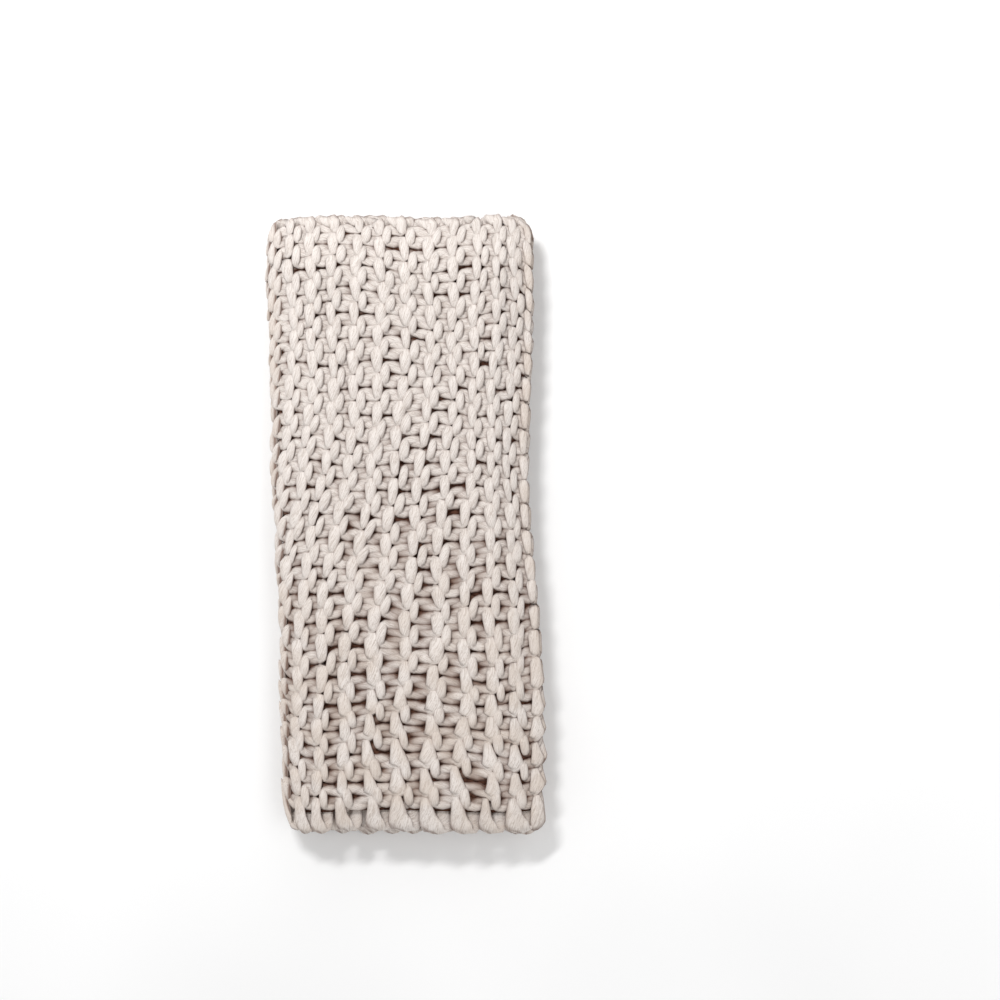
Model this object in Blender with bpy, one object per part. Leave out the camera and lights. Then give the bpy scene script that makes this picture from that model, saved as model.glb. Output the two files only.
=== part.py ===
"""A chunky knit blanket in garter stitch, folded back and forth in three and lying flat.

The blanket is one piece of knitting. Its rows run along Y, so its ridges do too, and it
is folded over twice across X: the lowest layer turns up at the right, the middle one
turns back at the left, and the top one ends at the right again. Z is up, and the floor
is at Z = 0, under the middle of the stack.
"""
import math
from collections import namedtuple

import bmesh
import bpy

# Sizes of the cloth, in metres
CLOTH_THICK = 0.026
LAYER_GAP = 0.003
RIDGE_RELIEF = 0.0045
RIDGE_COUNT = 34
CLOTH_HALF_LENGTH = 0.381
FREE_EDGE_FULLNESS = 0.5

# How the cloth is folded: both folds hold the same share of its ridges, and the right
# one starts at this ridge, counted from the free edge of the top layer
FOLD_RIDGES = 2.6
RIGHT_FOLD_RIDGE = 22.2
LOWER_FOLD_INSET = 0.004
LOWEST_EDGE_INSET = 0.010

# How far the stack sinks at its sides and ends, as a share of its height, and over what width
SINK_LEFT = 0.34
SINK_LEFT_WIDTH = 0.070
SINK_RIGHT = 0.26
SINK_RIGHT_WIDTH = 0.050
SINK_FAR = 0.26
SINK_FAR_WIDTH = 0.075
SINK_NEAR = 0.10
SINK_NEAR_WIDTH = 0.045

# Round corners of the stack seen from above: how far each is drawn in at the side
CORNER_WIDTH = 0.030
CORNER_FAR_LEFT = 0.028
CORNER_FAR_RIGHT = 0.022
CORNER_NEAR_LEFT = 0.036
CORNER_NEAR_RIGHT = 0.009

# The ends of the rows stand out at each ridge, and the lower layers reach a little further
EDGE_BUMP = 0.004
LOWER_LAYER_REACH = 0.004
EDGE_WAVE = 0.002
EDGE_WAVE_RIDGES = 7.3

# Where the cloth's section has its points, counted in ridges from a ridge's right side,
# with the height of the front and of the back there: 1 is the crest and 0 the groove
Mark = namedtuple("Mark", "ridge front back")
RIDGE_MARKS = (
    Mark(0.20, 1.0, 0.0),
    Mark(0.40, 0.0, 1.0),
    Mark(0.70, 0.0, 1.0),
    Mark(0.90, 1.0, 0.0),
)

# The folded stack from its near end to its far end: where it is widest at the left and
# right, how many ridges of the top layer lie flat, how far the ridges bow out to the
# right, and how full the cloth is there
Station = namedtuple("Station", "y left right flat_ridges bow fullness")
STATIONS = (
    Station(-0.381, -0.1530, 0.1725, 9.00, -0.006, 0.50),
    Station(-0.371, -0.1532, 0.1735, 9.00, -0.006, 0.92),
    Station(-0.335, -0.1538, 0.1743, 9.00, -0.006, 1.00),
    Station(-0.260, -0.1550, 0.1750, 8.95, -0.003, 1.00),
    Station(-0.185, -0.1569, 0.1724, 9.00, 0.006, 1.00),
    Station(-0.110, -0.1594, 0.1681, 9.25, 0.006, 1.00),
    Station(-0.035, -0.1625, 0.1612, 9.80, 0.006, 1.00),
    Station(0.040, -0.1665, 0.1554, 10.65, 0.007, 1.00),
    Station(0.150, -0.1687, 0.1562, 11.25, 0.009, 1.00),
    Station(0.270, -0.1724, 0.1616, 11.40, 0.009, 1.00),
    Station(0.345, -0.1754, 0.1612, 11.45, 0.009, 1.00),
    Station(0.371, -0.1735, 0.1605, 11.45, 0.009, 0.92),
    Station(0.381, -0.1720, 0.1600, 11.45, 0.009, 0.50),
)

YARN_COLOUR = (0.72, 0.64, 0.56, 1.0)
YARN_ROUGHNESS = 0.95

# Worked out from the sizes above
HALF_THICK = CLOTH_THICK / 2
LAYER_STEP = CLOTH_THICK + LAYER_GAP
LOW_Z = HALF_THICK
MIDDLE_Z = LOW_Z + LAYER_STEP
TOP_Z = MIDDLE_Z + LAYER_STEP
FOLD_RADIUS = LAYER_STEP / 2
FOLD_REACH = FOLD_RADIUS + HALF_THICK


def clear_scene():
    """Take out whatever the scene holds."""
    for thing in list(bpy.data.objects):
        bpy.data.objects.remove(thing, do_unlink=True)


def ease(share):
    """Go from 0 to 1 with a soft start and a soft end."""
    share = min(max(share, 0.0), 1.0)
    return share * share * (3 - 2 * share)


def mix(start, end, share):
    """Go straight from start to end."""
    return start + (end - start) * share


def section_point(station, ridge):
    """Middle of the cloth at a ridge, across the folded section, and its front's direction.

    Returns x, z, and the x and z of the direction that the front of the cloth faces.
    """
    left_turn = station.left + FOLD_REACH
    right_turn = station.right - LOWER_FOLD_INSET - FOLD_REACH
    left_fold_end = station.flat_ridges + FOLD_RIDGES
    right_fold_end = RIGHT_FOLD_RIDGE + FOLD_RIDGES
    if ridge <= station.flat_ridges:
        share = ridge / station.flat_ridges
        bow = station.bow * 4 * share * (1 - share)
        return mix(station.right, left_turn, share) + bow, TOP_Z, 0.0, 1.0
    if ridge < left_fold_end:
        angle = math.pi * (0.5 + (ridge - station.flat_ridges) / FOLD_RIDGES)
        out_x, out_z = math.cos(angle), math.sin(angle)
        middle = (MIDDLE_Z + TOP_Z) / 2
        return left_turn + FOLD_RADIUS * out_x, middle + FOLD_RADIUS * out_z, out_x, out_z
    if ridge <= RIGHT_FOLD_RIDGE:
        share = (ridge - left_fold_end) / (RIGHT_FOLD_RIDGE - left_fold_end)
        return mix(left_turn, right_turn, share), MIDDLE_Z, 0.0, -1.0
    if ridge < right_fold_end:
        angle = math.pi * (0.5 - (ridge - RIGHT_FOLD_RIDGE) / FOLD_RIDGES)
        out_x, out_z = math.cos(angle), math.sin(angle)
        middle = (LOW_Z + MIDDLE_Z) / 2
        return right_turn + FOLD_RADIUS * out_x, middle + FOLD_RADIUS * out_z, -out_x, -out_z
    share = (ridge - right_fold_end) / (RIDGE_COUNT - right_fold_end)
    return mix(right_turn, station.left + LOWEST_EDGE_INSET, share), LOW_Z, 0.0, 1.0


def sink(station, x, y):
    """Share of its full height that the stack keeps at a place seen from above."""
    left = SINK_LEFT * (1 - ease((x - station.left) / SINK_LEFT_WIDTH))
    right = SINK_RIGHT * (1 - ease((station.right - x) / SINK_RIGHT_WIDTH))
    far = SINK_FAR * (1 - ease((CLOTH_HALF_LENGTH - y) / SINK_FAR_WIDTH))
    near = SINK_NEAR * (1 - ease((CLOTH_HALF_LENGTH + y) / SINK_NEAR_WIDTH))
    return 1 - math.hypot(left + right, far + near)


def corner_pull(station, x, y):
    """How far the round corners draw the end of a row in."""
    near_left = (station.left + CORNER_WIDTH - x) / CORNER_WIDTH
    near_right = (x - station.right + CORNER_WIDTH) / CORNER_WIDTH
    side = min(max(near_left, near_right, 0.0), 1.0)
    if near_left > near_right:
        depth = CORNER_FAR_LEFT if y > 0 else CORNER_NEAR_LEFT
    else:
        depth = CORNER_FAR_RIGHT if y > 0 else CORNER_NEAR_RIGHT
    return depth * (1 - math.sqrt(1 - side * side))


def row_end_reach(ridge, crest):
    """How far the end of a row stands out, beyond the plain length of the cloth."""
    lower = LOWER_LAYER_REACH * ease(ridge / RIDGE_COUNT)
    wave = EDGE_WAVE * math.sin(math.tau * ridge / EDGE_WAVE_RIDGES)
    return lower + wave + EDGE_BUMP * (crest - 0.5)


def cloth_marks():
    """The marks of every ridge of the cloth, between its two free edges."""
    marks = [Mark(0.0, 0.0, 0.0)]
    for ridge in range(RIDGE_COUNT):
        marks += [mark._replace(ridge=ridge + mark.ridge) for mark in RIDGE_MARKS]
    return marks + [Mark(float(RIDGE_COUNT), 0.0, 0.0)]


def laid_point(station, mark, side):
    """A point on the cloth's front (side 1) or back (side -1), as the blanket lies."""
    crest = mark.front if side > 0 else mark.back
    half = (HALF_THICK - RIDGE_RELIEF * (1 - crest)) * station.fullness
    if mark.ridge in (0.0, RIDGE_COUNT):
        half *= FREE_EDGE_FULLNESS
    x, z, face_x, face_z = section_point(station, mark.ridge)
    x += face_x * half * side
    z += face_z * half * side
    reach = row_end_reach(mark.ridge, mark.front) - corner_pull(station, x, station.y)
    y = station.y * (1 + reach / CLOTH_HALF_LENGTH)
    return x, y, z * sink(station, x, y)


def build_blanket(collection):
    """Loft the folded section through the stations into one closed solid."""
    mesh = bpy.data.meshes.new("blanket")
    blanket = bpy.data.objects.new("blanket", mesh)
    collection.objects.link(blanket)
    marks = cloth_marks()
    shape = bmesh.new()
    rows = []
    for station in STATIONS:
        front = [shape.verts.new(laid_point(station, mark, 1)) for mark in marks]
        back = [shape.verts.new(laid_point(station, mark, -1)) for mark in marks]
        rows.append(front + back[::-1])
    around = len(rows[0])
    for near, far in zip(rows, rows[1:]):
        for here in range(around):
            after = (here + 1) % around
            shape.faces.new((near[here], near[after], far[after], far[here]))
    for row in (rows[0], rows[-1]):
        for here in range(len(marks) - 1):
            shape.faces.new((row[here], row[here + 1], row[-here - 2], row[-here - 1]))
    bmesh.ops.recalc_face_normals(shape, faces=shape.faces)
    bmesh.ops.triangulate(shape, faces=shape.faces)
    shape.to_mesh(mesh)
    shape.free()
    mesh.shade_smooth()
    return blanket


def yarn_material():
    """Matt, warm greige cotton yarn."""
    material = bpy.data.materials.new("cotton_yarn")
    material.use_nodes = True
    shader = material.node_tree.nodes["Principled BSDF"]
    shader.inputs["Base Color"].default_value = YARN_COLOUR
    shader.inputs["Roughness"].default_value = YARN_ROUGHNESS
    shader.inputs["Metallic"].default_value = 0.0
    return material


clear_scene()
parts = bpy.data.collections.new("chunky_knit_blanket")
bpy.context.scene.collection.children.link(parts)
folded_blanket = build_blanket(parts)
folded_blanket.data.materials.append(yarn_material())
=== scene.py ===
"""A chunky knit blanket in garter stitch, folded back and forth in three, with every stitch."""
import math
from collections import namedtuple

import bpy
import numpy as np
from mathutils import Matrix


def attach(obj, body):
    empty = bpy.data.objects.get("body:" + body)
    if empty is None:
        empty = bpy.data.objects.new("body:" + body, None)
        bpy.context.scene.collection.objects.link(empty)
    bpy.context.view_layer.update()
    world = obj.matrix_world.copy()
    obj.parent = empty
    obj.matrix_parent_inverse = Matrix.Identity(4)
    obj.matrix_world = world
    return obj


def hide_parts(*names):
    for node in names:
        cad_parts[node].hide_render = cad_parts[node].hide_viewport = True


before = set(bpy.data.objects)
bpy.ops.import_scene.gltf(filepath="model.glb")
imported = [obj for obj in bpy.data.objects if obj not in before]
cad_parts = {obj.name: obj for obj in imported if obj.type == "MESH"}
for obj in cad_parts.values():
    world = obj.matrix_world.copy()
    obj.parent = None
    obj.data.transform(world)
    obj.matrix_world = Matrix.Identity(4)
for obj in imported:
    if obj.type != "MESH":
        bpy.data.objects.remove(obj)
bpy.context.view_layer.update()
bpy.ops.object.select_all(action="DESELECT")


# The ground of the knitting
# The blanket is one piece of hand knitting in cotton yarn, folded in three. Between the
# loops that stand out on its two faces lies a thin middle, which closes the small holes.
# Its dark brown is painted shade, so that the holes read as deep shadow.
CLOTH_WIDTH = 0.762
CLOTH_THICK = 0.026
LAYER_GAP = 0.003
RIDGE_COUNT = 34
STITCH_COUNT = 23
HALF_WIDTH = CLOTH_WIDTH / 2
HALF_THICK = CLOTH_THICK / 2

# How it is folded: both folds hold as many ridges, and the right one starts at this ridge,
# counted from the free edge of the top layer, whose ridges lie closer by its sides
FOLD_RIDGES = 2.6
RIGHT_FOLD_RIDGE = 22.2
LOWER_FOLD_INSET = 0.004
LOWEST_EDGE_INSET = 0.010
LAYER_STEP = CLOTH_THICK + LAYER_GAP
LOW_Z = HALF_THICK
MIDDLE_Z = LOW_Z + LAYER_STEP
TOP_Z = MIDDLE_Z + LAYER_STEP
FOLD_RADIUS = LAYER_STEP / 2
FOLD_REACH = FOLD_RADIUS + HALF_THICK
FOLD_PITCH = 0.031
SIDE_SQUEEZE = 0.16

# How far the stack sinks at its sides and ends, as a share of its height, and how far in
SINK_LEFT = 0.34
SINK_LEFT_WIDTH = 0.070
SINK_RIGHT = 0.26
SINK_RIGHT_WIDTH = 0.050
SINK_FAR = 0.26
SINK_FAR_WIDTH = 0.075
SINK_NEAR = 0.10
SINK_NEAR_WIDTH = 0.045

# Round corners of the stack seen from above: how far each draws the ends of the rows in
CORNER_WIDTH = 0.030
CORNER_FAR_LEFT = 0.028
CORNER_FAR_RIGHT = 0.022
CORNER_NEAR_LEFT = 0.036
CORNER_NEAR_RIGHT = 0.009

# The lower layers reach a little further, and the ends of the rows wave in and out
LOWER_LAYER_REACH = 0.004
EDGE_WAVE = 0.002
EDGE_WAVE_RIDGES = 7.3

# The folded stack from its near end to its far end: its left and right side, how many
# ridges of the top layer lie flat, and how far the ridges bow out to the right
Station = namedtuple("Station", "y left right flat_ridges bow")
STATIONS = (
    Station(-0.371, -0.1532, 0.1735, 9.00, -0.006),
    Station(-0.335, -0.1538, 0.1743, 9.00, -0.006),
    Station(-0.260, -0.1550, 0.1750, 8.95, -0.003),
    Station(-0.185, -0.1569, 0.1724, 9.00, 0.006),
    Station(-0.110, -0.1594, 0.1681, 9.25, 0.006),
    Station(-0.035, -0.1625, 0.1612, 9.80, 0.006),
    Station(0.040, -0.1665, 0.1554, 10.65, 0.007),
    Station(0.150, -0.1687, 0.1562, 11.25, 0.009),
    Station(0.270, -0.1724, 0.1616, 11.40, 0.009),
    Station(0.345, -0.1754, 0.1612, 11.45, 0.009),
    Station(0.371, -0.1735, 0.1605, 11.45, 0.009),
)
STATION_SMOOTHING = (-0.030, -0.015, 0.0, 0.015, 0.030)

# Where stitches lie along the blanket, counted from its far end
Course = namedtuple("Course", "stitch y")
COURSES = (
    Course(0.0, 0.3710),
    Course(0.5, 0.3586),
    Course(5.5, 0.2141),
    Course(10.5, 0.0585),
    Course(15.5, -0.1046),
    Course(18.5, -0.2079),
    Course(20.5, -0.2689),
    Course(22.5, -0.3386),
    Course(23.0, -0.3555),
)
STITCH_PITCH = 0.033


def ease(share):
    """Go from 0 to 1 with a soft start and a soft end."""
    share = np.clip(share, 0.0, 1.0)
    return share * share * (3 - 2 * share)


def column(table, name):
    """One named column of a table."""
    return np.array([getattr(row, name) for row in table])


def stack_at(y):
    """Sizes of the folded stack at places along it, eased from one station to the next."""
    stations = column(STATIONS, "y")
    sizes = {}
    for name in ("left", "right", "flat_ridges", "bow"):
        values = column(STATIONS, name)
        near = [np.interp(y + step, stations, values) for step in STATION_SMOOTHING]
        sizes[name] = sum(near) / len(near)
    return sizes


def stitch_y(stitch):
    """Where stitches lie along the blanket. The ends of the rows keep on past its edges."""
    past = np.minimum(stitch, 0.0) + np.maximum(stitch - STITCH_COUNT, 0.0)
    return np.interp(stitch, column(COURSES, "stitch"), column(COURSES, "y")) - past * STITCH_PITCH


def turns(stack):
    """Where the two folds turn across the stack, and the ridge where the left one ends."""
    left_turn = stack["left"] + FOLD_REACH
    right_turn = stack["right"] - LOWER_FOLD_INSET - FOLD_REACH
    return left_turn, right_turn, stack["flat_ridges"] + FOLD_RIDGES


def fold(stack, ridge):
    """Middle of the cloth across the folded stack, as x and z, and the way its front faces."""
    left_turn, right_turn, left_end = turns(stack)
    right_end = RIGHT_FOLD_RIDGE + FOLD_RIDGES
    flat = stack["flat_ridges"]
    top = ridge / flat
    middle = (ridge - left_end) / (RIGHT_FOLD_RIDGE - left_end)
    lowest = (ridge - right_end) / (RIDGE_COUNT - right_end)
    left_angle = math.pi * (0.5 + (ridge - flat) / FOLD_RIDGES)
    right_angle = math.pi * (0.5 - (ridge - RIGHT_FOLD_RIDGE) / FOLD_RIDGES)
    on_top = ridge <= flat
    in_left = ridge < left_end
    in_middle = ridge <= RIGHT_FOLD_RIDGE
    in_right = ridge < right_end
    where = [on_top, in_left, in_middle, in_right]
    bow = stack["bow"] * 4 * top * (1 - top)
    squeezed = top - SIDE_SQUEEZE * np.sin(math.tau * top) / math.tau
    x = np.select(
        where,
        [
            stack["right"] + (left_turn - stack["right"]) * squeezed + bow,
            left_turn + FOLD_RADIUS * np.cos(left_angle),
            left_turn + (right_turn - left_turn) * middle,
            right_turn + FOLD_RADIUS * np.cos(right_angle),
        ],
        right_turn + (stack["left"] + LOWEST_EDGE_INSET - right_turn) * lowest,
    )
    z = np.select(
        where,
        [
            TOP_Z + 0 * ridge,
            (MIDDLE_Z + TOP_Z) / 2 + FOLD_RADIUS * np.sin(left_angle),
            MIDDLE_Z + 0 * ridge,
            (LOW_Z + MIDDLE_Z) / 2 + FOLD_RADIUS * np.sin(right_angle),
        ],
        LOW_Z,
    )
    still = 0 * ridge
    face_x = np.select(where, [still, np.cos(left_angle), still, -np.cos(right_angle)], 0.0)
    face_z = np.select(where, [still + 1, np.sin(left_angle), still - 1, -np.sin(right_angle)], 1.0)
    return x, z, face_x, face_z


def sink(stack, x, y):
    """Share of its full height that the stack keeps at places seen from above."""
    left = SINK_LEFT * (1 - ease((x - stack["left"]) / SINK_LEFT_WIDTH))
    right = SINK_RIGHT * (1 - ease((stack["right"] - x) / SINK_RIGHT_WIDTH))
    far = SINK_FAR * (1 - ease((HALF_WIDTH - y) / SINK_FAR_WIDTH))
    near = SINK_NEAR * (1 - ease((HALF_WIDTH + y) / SINK_NEAR_WIDTH))
    return 1 - np.hypot(left + right, far + near)


def corner_pull(stack, x, y):
    """How far the round corners draw the ends of the rows in."""
    near_left = (stack["left"] + CORNER_WIDTH - x) / CORNER_WIDTH
    near_right = (x - stack["right"] + CORNER_WIDTH) / CORNER_WIDTH
    side = np.clip(np.maximum(near_left, near_right), 0.0, 1.0)
    left_depth = np.where(y > 0, CORNER_FAR_LEFT, CORNER_NEAR_LEFT)
    right_depth = np.where(y > 0, CORNER_FAR_RIGHT, CORNER_NEAR_RIGHT)
    depth = np.where(near_left > near_right, left_depth, right_depth)
    return depth * (1 - np.sqrt(1 - side * side))


def lay(ridge, stitch, height):
    """Places on the folded blanket, from ridges and stitches counted on the flat cloth.

    The height is above the cloth's middle, towards its front.
    """
    y = stitch_y(stitch)
    stack = stack_at(y)
    x, z, face_x, face_z = fold(stack, ridge)
    x = x + face_x * height
    z = z + face_z * height
    lower = LOWER_LAYER_REACH * ease(ridge / RIDGE_COUNT)
    wave = EDGE_WAVE * np.sin(math.tau * ridge / EDGE_WAVE_RIDGES)
    reach = lower + wave - corner_pull(stack, x, y)
    y = y * (1 + reach / HALF_WIDTH)
    z = np.maximum(z * sink(stack, x, y), 0.0)
    return np.stack((x, y, z), axis=-1)


def add_piece(name, points, faces):
    """A new object with this mesh, shaded smooth."""
    mesh = bpy.data.meshes.new(name)
    mesh.from_pydata(points.tolist(), [], faces)
    piece = bpy.data.objects.new(name, mesh)
    bpy.context.scene.collection.objects.link(piece)
    mesh.shade_smooth()
    return piece


# In ridges and stitches, it ends a little inside the edges of the cloth and past its near end
GROUND_INSET = 0.35
GROUND_NEAR_REACH = 0.06
GROUND_THICK = 0.0016
GROUND_STEPS_A_RIDGE = 4
GROUND_STEPS_A_STITCH = 3
ground_ridges = np.linspace(
    GROUND_INSET,
    RIDGE_COUNT - GROUND_INSET,
    RIDGE_COUNT * GROUND_STEPS_A_RIDGE + 1,
)
ground_stitches = np.linspace(
    GROUND_INSET,
    STITCH_COUNT + GROUND_NEAR_REACH,
    STITCH_COUNT * GROUND_STEPS_A_STITCH + 1,
)
across, along = np.meshgrid(ground_ridges, ground_stitches, indexing="ij")
ground_points = lay(across, along, 0 * across).reshape(-1, 3)
numbers = np.arange(ground_points.shape[0]).reshape(across.shape)
ground_faces = np.stack(
    (numbers[:-1, :-1], numbers[1:, :-1], numbers[1:, 1:], numbers[:-1, 1:]), axis=-1
).reshape(-1, 4)
ground = add_piece("blanket_ground", ground_points, ground_faces.tolist())
bpy.context.view_layer.objects.active = ground
thickness = ground.modifiers.new("thickness", "SOLIDIFY")
thickness.thickness = GROUND_THICK
thickness.offset = 0.0
bpy.ops.object.modifier_apply(modifier=thickness.name)


class Finish:
    """A value in a material's nodes, so that its sums can be written as plain Python."""

    def __init__(self, tree, socket=None):
        self.tree = tree
        self.socket = socket

    def add(self, kind, settings=None, values=None, output=0):
        """Add a node: its settings first, then the values or links of its sockets."""
        node = self.tree.nodes.new(kind)
        for name, setting in (settings or {}).items():
            setattr(node, name, setting)
        for name, value in (values or {}).items():
            if isinstance(value, Finish):
                self.tree.links.new(value.socket, node.inputs[name])
            else:
                node.inputs[name].default_value = value
        return Finish(self.tree, node.outputs[output])

    def math(self, operation, first, second):
        """Add a Math node."""
        return self.add("ShaderNodeMath", {"operation": operation}, {0: first, 1: second})

    def __add__(self, other):
        return self.math("ADD", self, other)

    __radd__ = __add__

    def __sub__(self, other):
        return self.math("SUBTRACT", self, other)

    def __rsub__(self, other):
        return self.math("SUBTRACT", other, self)

    def __mul__(self, other):
        return self.math("MULTIPLY", self, other)

    __rmul__ = __mul__

    def between(self, low, high):
        """Go softly from 0 at low to 1 at high."""
        settings = {"interpolation_type": "SMOOTHSTEP"}
        return self.add("ShaderNodeMapRange", settings, {"Value": self, "From Min": low, "From Max": high})

    def blend(self, start, end):
        """Mix two colours by this value."""
        return self.add("ShaderNodeMix", {"data_type": "RGBA"}, {0: self, 6: start, 7: end}, 2)


def new_finish(name, settings):
    """A material, its shader with these settings, and a start for its nodes."""
    material = bpy.data.materials.new(name)
    material.use_nodes = True
    shader = material.node_tree.nodes["Principled BSDF"]
    for socket, value in settings.items():
        shader.inputs[socket].default_value = value
    return material, shader, Finish(material.node_tree)


def feed(shader, socket, finish):
    """Link a value or colour to one of the shader's sockets."""
    finish.tree.links.new(finish.socket, shader.inputs[socket])


# Painted shade: the middle is a dark, mottled reddish brown, so that it reads as the shadow in the holes
# between the loops
GROUND_SHADE_DARK = (0.045, 0.018, 0.011, 1.0)
GROUND_SHADE_PALE = (0.120, 0.054, 0.035, 1.0)
GROUND_MOTTLE = {"Scale": 160.0, "Detail": 3.0}
GROUND_MOTTLE_RANGE = (0.35, 0.65)
GROUND_SURFACE = {"Roughness": 1.0, "Specular IOR Level": 0.1}
ground_shade_finish, ground_shader, start = new_finish("ground_painted_shade", GROUND_SURFACE)
places = start.add("ShaderNodeTexCoord", output="Object")
mottle = start.add("ShaderNodeTexNoise", values={"Vector": places, **GROUND_MOTTLE})
mottle = mottle.between(*GROUND_MOTTLE_RANGE)
feed(ground_shader, "Base Color", mottle.blend(GROUND_SHADE_DARK, GROUND_SHADE_PALE))
ground.data.materials.append(ground_shade_finish)


# The rows of stitches
# Soft, loosely spun cotton yarn about 10 to 16 mm across, knitted by hand in garter stitch.
# A loop's head shows on one face and its foot on the other, and from row to row they
# change over, so that both faces have a ridge for every two rows.
FACE_HEIGHT = 0.0076
FIRST_CREST = 1.05
ROW_STEP = 0.5

# Half a stitch, from the middle of its head to the middle of its foot: how many ridges
# and how many metres down the loop, how far from the middle of the stitch, how high (1 at
# the head's face and -1 at the foot's), and how wide and thick the yarn is there
Loop = namedtuple("Loop", "down near aside up wide thick")
HALF_STITCH = (
    Loop(0.00, 0.0048, 0.000, 1.00, 0.0126, 0.0108),
    Loop(0.00, 0.0048, 0.205, 0.94, 0.0120, 0.0100),
    Loop(0.00, 0.0052, 0.318, 0.60, 0.0098, 0.0080),
    Loop(0.17, 0.0034, 0.312, 0.33, 0.0120, 0.0088),
    Loop(0.50, 0.0000, 0.340, 0.22, 0.0120, 0.0096),
    Loop(0.75, 0.0000, 0.240, 0.00, 0.0112, 0.0084),
    Loop(1.00, 0.0000, 0.145, -0.22, 0.0118, 0.0096),
    Loop(1.34, -0.0038, 0.140, -0.36, 0.0118, 0.0088),
    Loop(1.50, -0.0048, 0.105, -0.74, 0.0122, 0.0086),
    Loop(1.50, -0.0046, 0.250, -0.99, 0.0144, 0.0100),
    Loop(1.50, -0.0044, 0.500, -1.02, 0.0146, 0.0106),
)

# How far a head and a foot lean, in metres over a stitch, and by what share a foot tapers
# over a stitch, towards the near end
HEAD_LEAN = 0.0032
FOOT_LEAN = 0.0022
FOOT_TAPER = 0.80

# The feet grow fuller towards the near end: from which stitch, over how many, and by what
# share
FULL_FROM = 10.0
FULL_STITCHES = 8.0
FULL_SHARE = 0.10

# Towards the near right corner the knitting is pulled awry: the stitches lean the other
# way, are more uneven, and fan out towards the near end, over this part of a stitch
AWRY_STITCH = 15.5
AWRY_STITCHES = 5.0
AWRY_RIDGE = 8.5
AWRY_RIDGES = 3.0
AWRY_LEAN = 0.0050
AWRY_FLARE = 1.7
FLARE_FAR_END = 0.14
FLARE_NEAR_END = 0.20
AWRY_UNEVEN = 0.10

# At an end of the rows the yarn fans out round the edge of the cloth to the other face:
# the share of the way to the next row, of how far it reaches, its height, and how far it
# has spread there
Turn = namedtuple("Turn", "share reach up spread")
END_TURN = (
    Turn(0.03, 0.32, 0.95, 0.40),
    Turn(0.16, 0.70, 0.72, 0.85),
    Turn(0.50, 1.00, 0.00, 1.00),
    Turn(0.84, 0.70, -0.72, 0.85),
    Turn(0.97, 0.32, -0.95, 0.40),
)

# How many stitches past its edge the yarn reaches there, and its width and thickness
Selvedge = namedtuple("Selvedge", "stitch outward reach wide thick")
FAR_SELVEDGE = Selvedge(0, -1, 0.12, 0.0185, 0.0100)
NEAR_SELVEDGE = Selvedge(STITCH_COUNT, 1, 0.76, 0.0265, 0.0095)

# The share of that spread which the yarn keeps at the corners of the first free edge
CORNER_FAN = 0.30

# How far inside the two free edges the yarn is held, and how softly, in ridges
EDGE_RIDGE = 0.20
EDGE_SOFTNESS = 0.12

# How square the yarn's section is in a leg and in a head or foot, where 2 is round, and
# how much of the way to a bend's centre its inner side may take up
LEG_SQUARENESS = 2.0
LOOP_SQUARENESS = 2.6
INNER_BEND = 0.90

# How wide a ridge and a stitch are where the yarn has its full width, in metres
ROOMY_RIDGE = 0.0345
ROOMY_STITCH = 0.0325

# Seeded unevenness of the yarn's place, in ridges, stitches and heights, and of its size
YARN_SEED = 11
KNOTS_A_STITCH = 3
JITTER_ACROSS = 0.036
JITTER_ALONG = 0.040
JITTER_UP = 0.080
JITTER_SIZE = 0.090

# Broad, slow wandering of the knitting, in ridges across and stitches along. At the ends
# of the rows it is held straight along the blanket, over this many stitches
Drift = namedtuple("Drift", "size ridges stitches phase")
DRIFT_ACROSS = (
    Drift(0.07, 5.0, 9.0, 0.4),
    Drift(0.05, -3.1, 4.3, 2.1),
)
DRIFT_ALONG = (
    Drift(0.10, 6.5, 11.0, 1.3),
    Drift(0.06, -3.7, 5.3, 3.6),
)
HELD_STITCHES = 2.0

# What the yarn's material reads from it: its twist in radians a metre, how far in from
# the edges of the cloth the light still reaches past the painted shade, how much deeper the
# painted shade of the hollows is towards the near end, and how strong the warm painted shade
# is by the sides and towards the near end
TWIST_A_METRE = 60.0
RIM_DEPTH = 0.012
NEAR_SHADE = 0.10
NEAR_SHADE_STITCH = 7.0
NEAR_SHADE_STITCHES = 8.0
WARM_WIDTH = 0.026
NEAR_WARM = 0.9
NEAR_WARM_STITCH = 9.0
NEAR_WARM_STITCHES = 12.0

# The bands of the knitting by their ridges, with the sides of the yarn's tube and the
# step along its marks, which are coarser where a band is hidden
SEEN_SIDES = 12
SEEN_STEP = 0.6667
HIDDEN_SIDES = 8
HIDDEN_STEP = 1.0
Band = namedtuple("Band", "name first last sides step")
BANDS = (
    Band("knit_top_right", 0, 4, SEEN_SIDES, SEEN_STEP),
    Band("knit_top_middle", 4, 8, SEEN_SIDES, SEEN_STEP),
    Band("knit_top_left", 8, 12, SEEN_SIDES, SEEN_STEP),
    Band("knit_left_fold", 12, 15, SEEN_SIDES, SEEN_STEP),
    Band("knit_middle", 15, 22, HIDDEN_SIDES, HIDDEN_STEP),
    Band("knit_right_fold", 22, 25, SEEN_SIDES, SEEN_STEP),
    Band("knit_lowest", 25, 34, HIDDEN_SIDES, HIDDEN_STEP),
)


def awry_at(ridge, stitch):
    """How far the knitting is pulled awry at places on the cloth."""
    return ease((stitch - AWRY_STITCH) / AWRY_STITCHES) * ease((AWRY_RIDGE - ridge) / AWRY_RIDGES)


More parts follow.
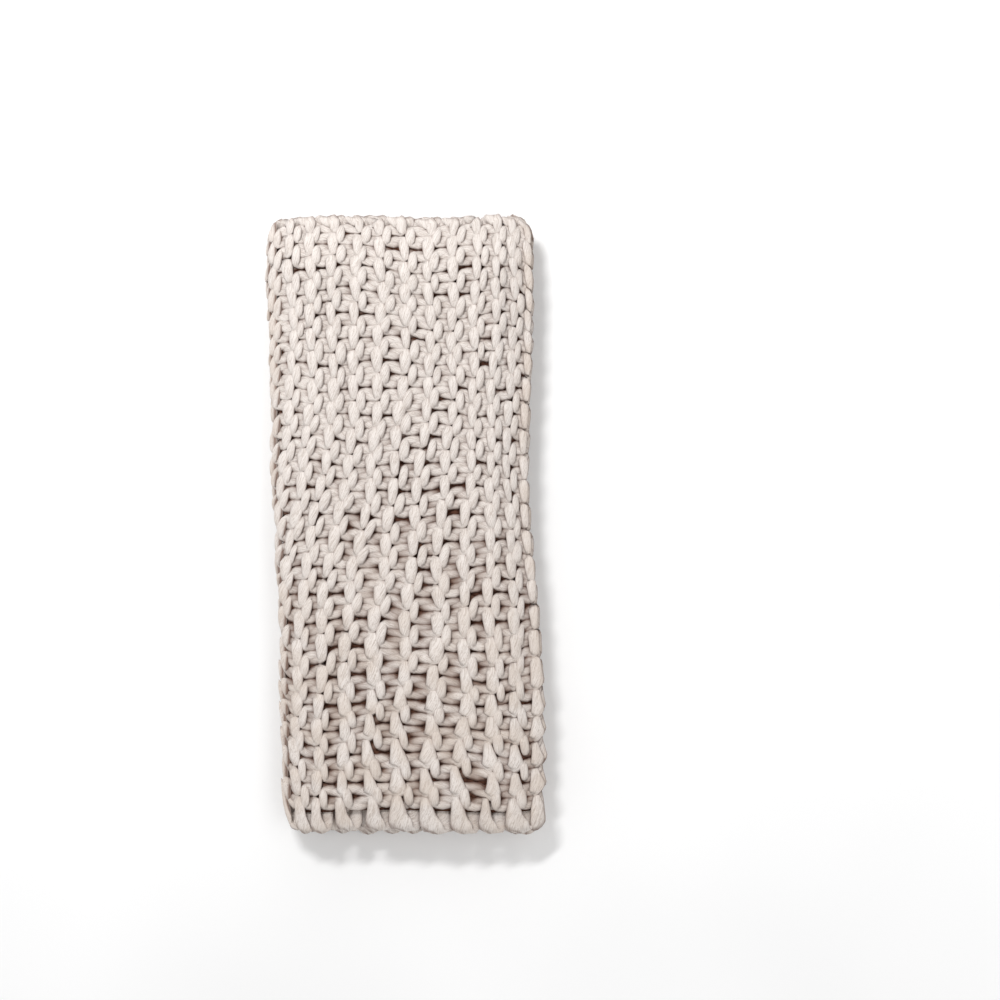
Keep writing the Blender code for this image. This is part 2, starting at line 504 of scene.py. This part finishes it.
def turn_keys(place, edge, turned, front):
    """Marks for a turn of the yarn round an edge of the cloth, or for a part of one."""
    keys = []
    foot = HALF_STITCH[-1]
    tight = CORNER_FAN if place < 0 else 1.0
    for turn in turned:
        wide = foot.wide + (edge.wide - foot.wide) * turn.spread * tight
        thick = foot.thick + (edge.thick - foot.thick) * turn.spread
        along = edge.stitch + edge.outward * edge.reach * turn.reach
        inward = -edge.outward * (1 - abs(turn.up))
        across = place + ROW_STEP * turn.share
        up = turn.up * front
        keys.append((across, along, foot.near, -up, wide, thick, inward, up))
    return keys


def row_keys(ridge):
    """The yarn's marks for one ridge: a row away from the far end, and the row back.

    Each mark has its place across and along the cloth, a shift towards the first edge in
    metres, its height, the yarn's width and thickness, and the direction along and up of
    the yarn's own upper side.
    """
    foot = HALF_STITCH[-1]
    first_place = ridge + FIRST_CREST - foot.down
    keys = turn_keys(first_place - ROW_STEP, FAR_SELVEDGE, END_TURN[2:], -1)
    for row, onward in enumerate((1, -1)):
        crest = ridge + FIRST_CREST + row * ROW_STEP
        for stitch in range(STITCH_COUNT)[::onward]:
            middle = stitch + 0.5
            awry = awry_at(ridge, middle)
            full = 1 + FULL_SHARE * ease((stitch - FULL_FROM) / FULL_STITCHES)
            for side, parts in ((-onward, HALF_STITCH[:0:-1]), (onward, HALF_STITCH[:-1])):
                for part in parts:
                    aside = part.aside * side
                    near = part.near
                    wide = part.wide
                    if part.down == 0:
                        near += (AWRY_LEAN * awry - HEAD_LEAN * (1 - awry)) * aside
                    elif part.down == foot.down:
                        past_middle = aside - 0.5 * side
                        near += (AWRY_LEAN * awry + FOOT_LEAN * (1 - awry)) * past_middle
                        spread = min(max(past_middle, -FLARE_FAR_END), FLARE_NEAR_END)
                        flare = AWRY_FLARE * awry - FOOT_TAPER * (1 - awry)
                        wide *= full * (1 + flare * spread)
                    place = crest - part.down
                    height = part.up * onward
                    keys.append((place, middle + aside, near, height, wide, part.thick, 0, onward))
        place = crest - foot.down
        along = STITCH_COUNT if onward > 0 else 0
        height = foot.up * onward
        keys.append((place, along, foot.near, height, foot.wide, foot.thick, 0, onward))
        if row == 0:
            keys += turn_keys(first_place, NEAR_SELVEDGE, END_TURN, 1)
    return keys + turn_keys(first_place + ROW_STEP, FAR_SELVEDGE, END_TURN[:2], -1)


def smooth_line(keys, step):
    """Points along a smooth line through the keys, which it passes at whole numbers."""
    at = np.arange(0.0, len(keys) - 1, step)
    here = np.minimum(at.astype(int), len(keys) - 2)
    share = (at - here)[:, None]
    padded = np.concatenate((keys[:1], keys, keys[-1:]))
    before, start, end, after = (padded[here + offset] for offset in range(4))
    leave = (end - before) / 2
    arrive = (after - start) / 2
    curve = 3 * (end - start) - 2 * leave - arrive
    bend = 2 * (start - end) + leave + arrive
    return start + leave * share + curve * share**2 + bend * share**3


def wander(drifts, ridge, stitch):
    """Slow drift of the knitting at places on the cloth."""
    total = 0.0 * ridge
    for drift in drifts:
        turn = ridge / drift.ridges + stitch / drift.stitches
        total = total + drift.size * np.sin(math.tau * turn + drift.phase)
    return total


def uneven(random, length, step, size):
    """Seeded unevenness along the yarn, smooth from one knot to the next."""
    keys_a_knot = 2 * (len(HALF_STITCH) - 1) / KNOTS_A_STITCH
    at = np.arange(length) * step / keys_a_knot
    here = at.astype(int)
    knots = random.normal(0.0, size, here[-1] + 2)
    share = ease(at - here)
    return knots[here] * (1 - share) + knots[here + 1] * share


def pitch_at(ridge, stack):
    """How wide a ridge is across the flat parts of the stack, and on the folds' outside."""
    left_turn, right_turn, left_end = turns(stack)
    right_end = RIGHT_FOLD_RIDGE + FOLD_RIDGES
    flat = stack["flat_ridges"]
    squeeze = 1 - SIDE_SQUEEZE * np.cos(math.tau * ridge / flat)
    top = (stack["right"] - left_turn) / flat * squeeze
    folded = FOLD_PITCH + 0 * top
    middle = (right_turn - left_turn) / (RIGHT_FOLD_RIDGE - left_end)
    lowest = (right_turn - stack["left"] - LOWEST_EDGE_INSET) / (RIDGE_COUNT - right_end)
    where = [ridge <= flat, ridge < left_end, ridge <= RIGHT_FOLD_RIDGE, ridge < right_end]
    return np.select(where, [top, folded, middle, folded], lowest)


def unit(vectors):
    """Vectors made one long."""
    return vectors / np.linalg.norm(vectors, axis=-1, keepdims=True)


def store(mesh, name, values, kind="FLOAT", field="value"):
    """Keep values on the points of a mesh, for its material."""
    mesh.attributes.new(name, kind, "POINT").data.foreach_set(field, values.ravel())


def knit_band(band):
    """One band of the knitting, as a closed tube of yarn along all its rows."""
    random = np.random.default_rng(YARN_SEED + band.first)
    keys = np.array([key for ridge in range(band.first, band.last) for key in row_keys(ridge)])
    line = smooth_line(keys, band.step)
    count = len(line)
    ridge, stitch, near, up, wide, thick, side_along, side_up = line.T

    # Where the yarn lies on the cloth, with its unevenness
    awry = 1 + AWRY_UNEVEN * awry_at(ridge, stitch)
    jitter = uneven(random, count, band.step, JITTER_ACROSS) * awry
    ridge = ridge + jitter + wander(DRIFT_ACROSS, ridge, stitch)
    jitter = uneven(random, count, band.step, JITTER_ALONG)
    held = ease(np.minimum(stitch, STITCH_COUNT - stitch) / HELD_STITCHES)
    stitch = stitch + jitter + wander(DRIFT_ALONG, ridge, stitch) * held
    up = up + uneven(random, count, band.step, JITTER_UP)
    fullness = 1 + uneven(random, count, band.step, JITTER_SIZE)
    stack = stack_at(stitch_y(stitch))
    across = sum(pitch_at(ridge + offset, stack) for offset in (-0.5, 0.0, 0.5)) / 3
    along = stitch_y(stitch - 0.5) - stitch_y(stitch + 0.5)
    room_across = np.sqrt(across / ROOMY_RIDGE)
    room_along = np.sqrt(along / ROOMY_STITCH)
    ridge = ridge - near * room_across / across
    first = EDGE_RIDGE
    last = RIDGE_COUNT - first
    ridge = first + EDGE_SOFTNESS * np.logaddexp(0, (ridge - first) / EDGE_SOFTNESS)
    ridge = last - EDGE_SOFTNESS * np.logaddexp(0, (last - ridge) / EDGE_SOFTNESS)
    height = up * FACE_HEIGHT

    # Which way it goes there and how it bends, in real sizes
    scale = np.stack((across, along, np.ones(count)), axis=-1)
    metric = np.stack((np.gradient(ridge), np.gradient(stitch), np.gradient(height)), axis=-1) * scale
    pace = np.linalg.norm(metric, axis=-1, keepdims=True)
    length = np.cumsum(pace)
    forward = unit(metric)
    wide = wide * (room_across + (room_along - room_across) * forward[:, 0] ** 2)
    bend = np.gradient(forward, axis=0) / pace
    upper = np.stack((0 * side_up, side_along, side_up), axis=-1)
    sideways = unit(np.cross(forward, upper))
    upper = np.cross(sideways, forward)

    # Its section, drawn in on the inner side of tight bends
    angle = np.arange(band.sides) * math.tau / band.sides
    squareness = LEG_SQUARENESS + (LOOP_SQUARENESS - LEG_SQUARENESS) * ease(np.abs(up))
    square = (2 / squareness)[:, None]
    out = np.sign(np.cos(angle)) * np.abs(np.cos(angle)) ** square
    rise = np.sign(np.sin(angle)) * np.abs(np.sin(angle)) ** square
    offset = (
        sideways[:, None, :] * (wide * fullness / 2)[:, None, None] * out[..., None]
        + upper[:, None, :] * (thick * fullness / 2)[:, None, None] * rise[..., None]
    )
    inward = np.sum(offset * bend[:, None, :], axis=-1, keepdims=True)
    offset = offset * np.where(inward > INNER_BEND, INNER_BEND / np.maximum(inward, INNER_BEND), 1.0)
    offset = offset / scale[:, None, :]
    ring_ridge = ridge[:, None] + offset[..., 0]
    ring_stitch = stitch[:, None] + offset[..., 1]
    ring_height = height[:, None] + offset[..., 2]
    points = lay(ring_ridge, ring_stitch, ring_height).reshape(-1, 3)

    # Its skin, closed at both ends
    numbers = np.arange(count * band.sides).reshape(count, band.sides)
    turned = np.roll(numbers, -1, axis=1)
    walls = np.stack((numbers[:-1], numbers[1:], turned[1:], turned[:-1]), axis=-1).reshape(-1, 4)
    faces = walls.tolist() + [numbers[0].tolist(), numbers[-1][::-1].tolist()]
    piece = add_piece(band.name, points, faces)

    # What its material reads
    spun = angle[None, :] + TWIST_A_METRE * length[:, None]
    fibre = np.stack((np.cos(spun), np.sin(spun), length[:, None] + 0 * spun), axis=-1)
    store(piece.data, "fibre", fibre, "FLOAT_VECTOR", "vector")
    # Painted shade of the hollows: the yarn darkens with its depth in the cloth, more so towards the near
    # end, but stays light within a rim by the cloth's edges
    past_row = np.minimum(ring_stitch, STITCH_COUNT - ring_stitch) * along[:, None]
    past_side = np.minimum(ring_ridge, RIDGE_COUNT - ring_ridge) * across[:, None]
    rim = 1 - np.minimum(past_row, past_side) / RIM_DEPTH
    near_end = NEAR_SHADE * ease((ring_stitch - NEAR_SHADE_STITCH) / NEAR_SHADE_STITCHES)
    shown = np.maximum(np.abs(ring_height) / HALF_THICK - near_end, rim)
    store(piece.data, "shown", shown)
    # Painted shade in the creases: the sides of each strand darken, while its top and underside stay light
    lift = np.abs(ring_height - height[:, None]) / (thick * fullness / 2)[:, None]
    store(piece.data, "lift", lift)
    # Warm painted shade by the sides of the stack, where the folds turn away from the light, and towards
    # the near end
    x = points[:, 0].reshape(count, band.sides)
    from_side = np.minimum(x - stack["left"][:, None], stack["right"][:, None] - x)
    near_warm = NEAR_WARM * ease((ring_stitch - NEAR_WARM_STITCH) / NEAR_WARM_STITCHES)
    store(piece.data, "warm_shade", np.maximum(ease(1 - from_side / WARM_WIDTH), near_warm))
    tone = uneven(random, count, band.step, 1.0)
    store(piece.data, "tone", np.repeat(tone, band.sides))
    return piece


knitted = [knit_band(band) for band in BANDS]

YARN_LIGHT = (0.790, 0.730, 0.688, 1.0)
YARN_MID = (0.525, 0.455, 0.408, 1.0)
# Painted shade: the dark reddish brown of the deep hollows and creases
YARN_PAINTED_SHADE = (0.140, 0.063, 0.036, 1.0)
# Painted shade: a warm, darker tint by the stack's sides and towards the near end
YARN_WARM_SHADE = (0.560, 0.445, 0.350, 1.0)
YARN_SURFACE = {
    "Roughness": 0.95,
    "Specular IOR Level": 0.25,
    "Sheen Weight": 0.15,
    "Sheen Roughness": 0.6,
}

# The fibres run along the yarn in broad strands and fine ones, and stand up a little
FIBRE_COMB = (9.0, 9.0, 90.0)
STRANDS = {"Scale": 0.9, "Detail": 2.0}
STRANDS_SHARE = 0.6
FIBRES = {"Scale": 2.6, "Detail": 3.0}
STREAK_RANGE = (0.36, 0.57)
BUMP = {"Strength": 0.8, "Distance": 0.0010}

# The warm painted shade comes in patches, and painted shade darkens the yarn from where it lies open to
# the deep, and on the sides of each strand
WARM_PATCHES = {"Scale": 28.0, "Detail": 1.0}
PATCH_RANGE = (0.30, 0.66)
WARM_SHARE = 0.38
TONE_SHARE = 0.02
SHOWN_RANGE = (0.08, 0.53)
LIFT_RANGE = (-0.25, 0.85)
yarn_finish, yarn_shader, start = new_finish("cotton_yarn_knitted", YARN_SURFACE)
fibre = start.add("ShaderNodeAttribute", {"attribute_name": "fibre"}, output="Vector")
shown = start.add("ShaderNodeAttribute", {"attribute_name": "shown"}, output="Fac")
lift = start.add("ShaderNodeAttribute", {"attribute_name": "lift"}, output="Fac")
tone = start.add("ShaderNodeAttribute", {"attribute_name": "tone"}, output="Fac")
warm_shade = start.add("ShaderNodeAttribute", {"attribute_name": "warm_shade"}, output="Fac")
combed = start.add("ShaderNodeVectorMath", {"operation": "MULTIPLY"}, {0: fibre, 1: FIBRE_COMB})
strands = start.add("ShaderNodeTexNoise", values={"Vector": combed, **STRANDS})
fibres = start.add("ShaderNodeTexNoise", values={"Vector": combed, **FIBRES})
streaks = strands * STRANDS_SHARE + fibres * (1 - STRANDS_SHARE)
light = streaks.between(*STREAK_RANGE)
places = start.add("ShaderNodeTexCoord", output="Object")
patches = start.add("ShaderNodeTexNoise", values={"Vector": places, **WARM_PATCHES})
# The warm painted shade, broken into patches
warm_shading = patches.between(*PATCH_RANGE) * warm_shade * WARM_SHARE
surface = warm_shading.blend(light.blend(YARN_MID, YARN_LIGHT), YARN_WARM_SHADE)
# Painted shade of the hollows and of the strands' sides
depth = (shown + tone * TONE_SHARE).between(*SHOWN_RANGE) * lift.between(*LIFT_RANGE)
feed(yarn_shader, "Base Color", depth.blend(YARN_PAINTED_SHADE, surface))
feed(yarn_shader, "Normal", start.add("ShaderNodeBump", values={"Height": streaks, **BUMP}))
for piece in knitted:
    piece.data.materials.append(yarn_finish)

for piece in [ground] + knitted:
    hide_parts("blanket")
    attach(piece, "root")


# The floor
# A plain, pale, matt floor under the blanket, which isn't part of it.
FLOOR_SIZE = 40.0
FLOOR_PALE = (0.90, 0.90, 0.90, 1.0)
FLOOR_PALER = (0.94, 0.94, 0.94, 1.0)
FLOOR_CLOUDS = {"Scale": 1.6, "Detail": 2.0}
FLOOR_CLOUD_RANGE = (0.35, 0.65)
FLOOR_SURFACE = {"Roughness": 0.9, "Specular IOR Level": 0.1}
bpy.ops.mesh.primitive_plane_add(size=FLOOR_SIZE, location=(0.0, 0.0, 0.0))
floor = bpy.context.active_object
floor.name = "floor"
floor_finish, floor_shader, start = new_finish("pale_floor", FLOOR_SURFACE)
places = start.add("ShaderNodeTexCoord", output="Object")
clouds = start.add("ShaderNodeTexNoise", values={"Vector": places, **FLOOR_CLOUDS})
clouds = clouds.between(*FLOOR_CLOUD_RANGE)
feed(floor_shader, "Base Color", clouds.blend(FLOOR_PALE, FLOOR_PALER))
floor.data.materials.append(floor_finish)


# The light and the camera
# Soft studio light from above and the far left, and a camera that looks straight down
# from far off, framed as in the photograph.
Lamp = namedtuple("Lamp", "name x y z size watts")
LAMPS = (
    Lamp("key", -1.0, 1.9, 3.3, 1.1, 214.0),
    Lamp("fill", 1.4, -0.8, 2.6, 2.4, 22.0),
)
for lamp in LAMPS:
    light_data = bpy.data.lights.new(lamp.name, "AREA")
    light_data.shape = "DISK"
    light_data.size = lamp.size
    light_data.energy = lamp.watts
    light_object = bpy.data.objects.new(lamp.name, light_data)
    bpy.context.scene.collection.objects.link(light_object)
    light_object.location = (lamp.x, lamp.y, lamp.z)
    tilt = math.atan2(math.hypot(lamp.x, lamp.y), lamp.z)
    light_object.rotation_euler = (tilt, 0.0, math.atan2(lamp.x, -lamp.y) + math.pi)

WORLD_COLOUR = (1.0, 1.0, 1.0, 1.0)
WORLD_LIGHT = 0.62
world = bpy.data.worlds.new("studio")
bpy.context.scene.world = world
world.use_nodes = True
backdrop = world.node_tree.nodes["Background"]
backdrop.inputs["Color"].default_value = WORLD_COLOUR
backdrop.inputs["Strength"].default_value = WORLD_LIGHT

# Where the camera looks, how wide its view is at this height, its lens in millimetres,
# and how far it sees
VIEW_X = 0.120
VIEW_Y = 0.029
VIEW_WIDTH = 1.245
VIEW_LENS = 135.0
VIEW_LEVEL = 0.060
VIEW_FAR = 50.0
camera_data = bpy.data.cameras.new("camera")
camera_data.lens = VIEW_LENS
camera_data.clip_end = VIEW_FAR
camera = bpy.data.objects.new("camera", camera_data)
bpy.context.scene.collection.objects.link(camera)
camera_height = VIEW_LEVEL + VIEW_WIDTH * VIEW_LENS / camera_data.sensor_width
camera.location = (VIEW_X, VIEW_Y, camera_height)
bpy.context.scene.camera = camera
bpy.context.scene.view_settings.view_transform = "Standard"
